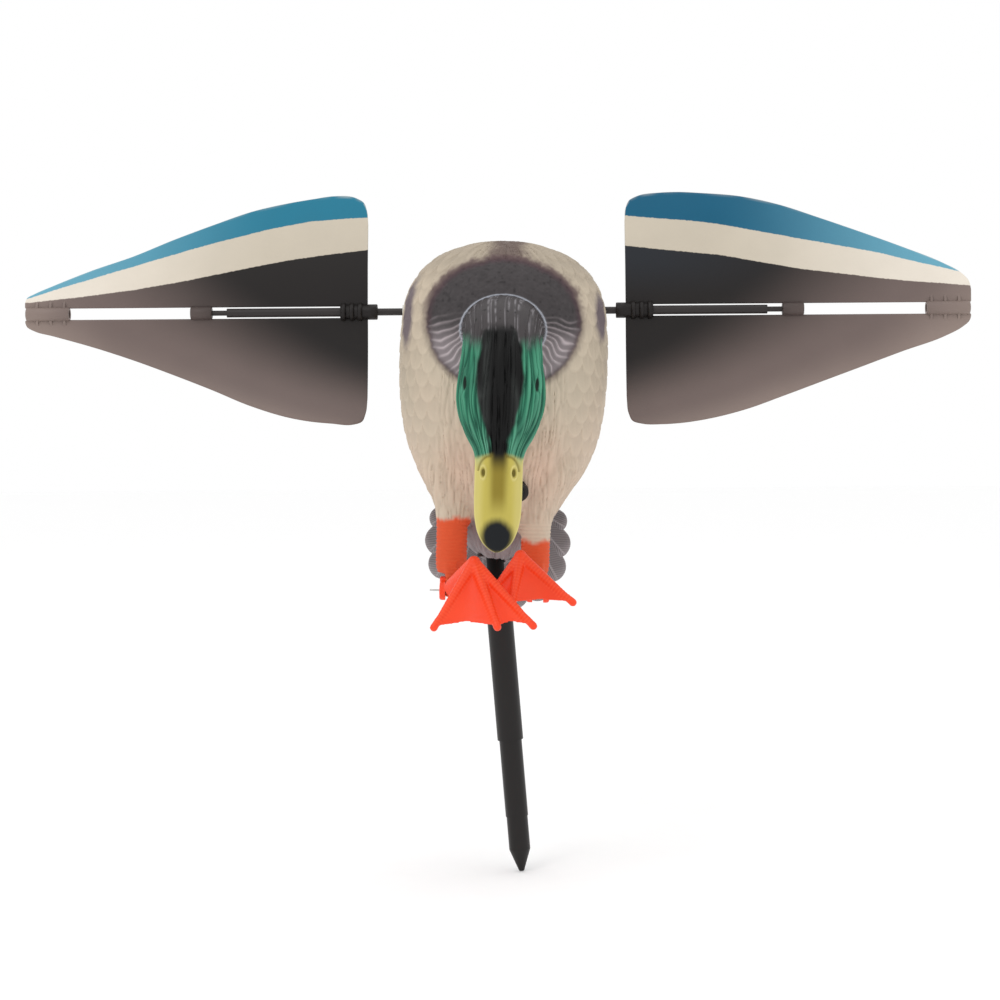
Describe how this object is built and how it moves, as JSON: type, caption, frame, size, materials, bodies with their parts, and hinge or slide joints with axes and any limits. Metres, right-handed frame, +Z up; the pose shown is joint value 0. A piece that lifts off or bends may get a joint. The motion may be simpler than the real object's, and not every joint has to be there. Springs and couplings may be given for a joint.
{
  "type": "motion wing decoy",
  "caption": "Landing duck decoy with a motor that spins slip-on wings, dangling pinned feet, a back hatch and a two-piece pole with a ground spike.",
  "frame": {"origin": "middle of the ground spike's shank, on the pole's axis", "axes": "+Z up, +X along the wing axle towards the right wing as seen from the front, -Y the way the duck faces"},
  "size_m": [0.69, 0.2301, 0.4999],
  "materials": {
    "duck_body": "matt airbrushed paint on moulded plastic, cream with a grey bib and a grey rump",
    "duck_head": "matt green paint with a black crown, over an olive-yellow bill",
    "tail_paint": "matt grey-brown paint",
    "foot_plastic": "flexible bright orange plastic",
    "wing_paint": "satin charcoal plastic with painted blue and white bands",
    "black_plastic": "moulded black plastic",
    "button_rubber": "soft black rubber",
    "pole_paint": "satin brown-black powder coat",
    "steel": "plain steel",
    "black_steel": "black oxide steel",
    "motor_steel": "zinc plated can",
    "brass": "turned brass",
    "nylon": "natural nylon",
    "battery_case": "dark moulded case",
    "red_wire": "soft insulation",
    "black_wire": "soft insulation",
    "magnet": "nickel plated"
  },
  "bodies": {
    "lower_pole": {"lower_pole": "pole_paint", "ground_spike": "pole_paint"},
    "upper_pole": {"upper_pole": "pole_paint", "pole_peg": "pole_paint", "peg_rivet": "pole_paint"},
    "duck": {"body_shell": "duck_body", "head": "duck_head", "neck_bolt": "steel", "neck_washer": "steel", "tail_fan": "tail_paint", "left_foot_pin": "steel", "right_foot_pin": "steel", "chassis": "black_plastic", "chassis_screws": "steel", "pole_socket": "black_plastic", "socket_screws": "steel", "motor_can": "motor_steel", "motor_strap": "steel", "strap_screws": "steel", "left_bearing": "nylon", "right_bearing": "nylon", "battery_pack": "battery_case", "battery_terminals": "steel", "red_lead": "red_wire", "black_lead": "black_wire", "switch_housing": "black_plastic", "hatch_hinge_pin": "steel"},
    "hatch": {"back_hatch": "duck_body"},
    "latch": {"hatch_latch": "black_plastic"},
    "button": {"power_button": "button_rubber"},
    "left_foot": {"left_foot": "foot_plastic"},
    "right_foot": {"right_foot": "foot_plastic"},
    "rotor": {"motor_shaft": "steel", "left_coupler": "brass", "right_coupler": "brass", "coupler_screws": "black_steel", "left_axle": "black_steel", "right_axle": "black_steel", "drive_pins": "steel"},
    "left_wing": {"left_wing": "wing_paint", "left_wing_sleeve": "black_steel", "left_wing_magnet": "magnet"},
    "right_wing": {"right_wing": "wing_paint", "right_wing_sleeve": "black_steel", "right_wing_magnet": "magnet"}
  },
  "joints": [
    {"name": "pole_slide", "type": "slide", "parent": "lower_pole", "child": "upper_pole", "axis": [-0.0785, 0, 0.9969], "range_m": [0, 0.06]},
    {"name": "duck_swivel", "type": "hinge", "parent": "upper_pole", "child": "duck", "pos_m": [0, 0, 0], "axis": [-0.0785, 0, 0.9969], "continuous": true},
    {"name": "wing_spin", "type": "hinge", "parent": "duck", "child": "rotor", "pos_m": [-0.00939, 0, 0.38388], "axis": [1, 0, 0], "continuous": true},
    {"name": "left_wing_slip", "type": "slide", "parent": "rotor", "child": "left_wing", "axis": [-1, 0, 0], "range_m": [0, 0.11]},
    {"name": "right_wing_slip", "type": "slide", "parent": "rotor", "child": "right_wing", "axis": [1, 0, 0], "range_m": [0, 0.11]},
    {"name": "hatch_hinge", "type": "hinge", "parent": "duck", "child": "hatch", "pos_m": [-0.01, 0.076, 0.36429], "axis": [0.9995, 0, -0.0314], "range_deg": [0, 100]},
    {"name": "latch_turn", "type": "hinge", "parent": "hatch", "child": "latch", "pos_m": [-0.01215, 0.08, 0.29592], "axis": [0, 1, 0], "range_deg": [0, 90]},
    {"name": "button_press", "type": "slide", "parent": "duck", "child": "button", "axis": [0.0147, 0.8829, 0.4692], "range_m": [0, 0.002], "stiffness_N_per_m": 500},
    {"name": "left_foot_swing", "type": "hinge", "parent": "duck", "child": "left_foot", "pos_m": [-0.04669, -0.046, 0.18395], "axis": [0.9995, 0, -0.0314], "range_deg": [-20, 0]},
    {"name": "right_foot_swing", "type": "hinge", "parent": "duck", "child": "right_foot", "pos_m": [0.01528, -0.046, 0.182], "axis": [0.9995, 0, -0.0314], "range_deg": [-10, 0]}
  ]
}
